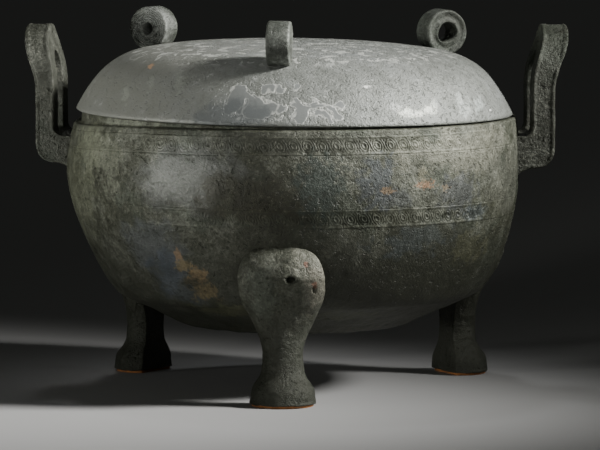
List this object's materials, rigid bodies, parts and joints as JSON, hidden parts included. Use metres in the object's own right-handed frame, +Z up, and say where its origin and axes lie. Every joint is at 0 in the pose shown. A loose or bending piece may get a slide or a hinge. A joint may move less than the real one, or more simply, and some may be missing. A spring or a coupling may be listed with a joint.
{
  "type": "bronze ding vessel",
  "caption": "Lidded bronze cauldron on cabriole legs with standing loop handles, worn scroll bands and a loose domed lid with pierced disc knobs.",
  "frame": {"origin": "on the floor under the middle of the mouth", "axes": "+Z up, -Y the front with the front leg, +X to the right handle"},
  "size_m": [0.3983, 0.3335, 0.2747],
  "materials": {
    "vessel_bronze": "dark olive and grey-green corroded bronze, rough and pitted",
    "lid_bronze": "cool grey satin patina with smooth patches over pitted ground",
    "pad": "orange-tan matt pad"
  },
  "bodies": {
    "root": {"vessel": "vessel_bronze", "lid": "lid_bronze", "front_foot_pad": "pad", "left_foot_pad": "pad", "right_foot_pad": "pad"}
  },
  "joints": []
}
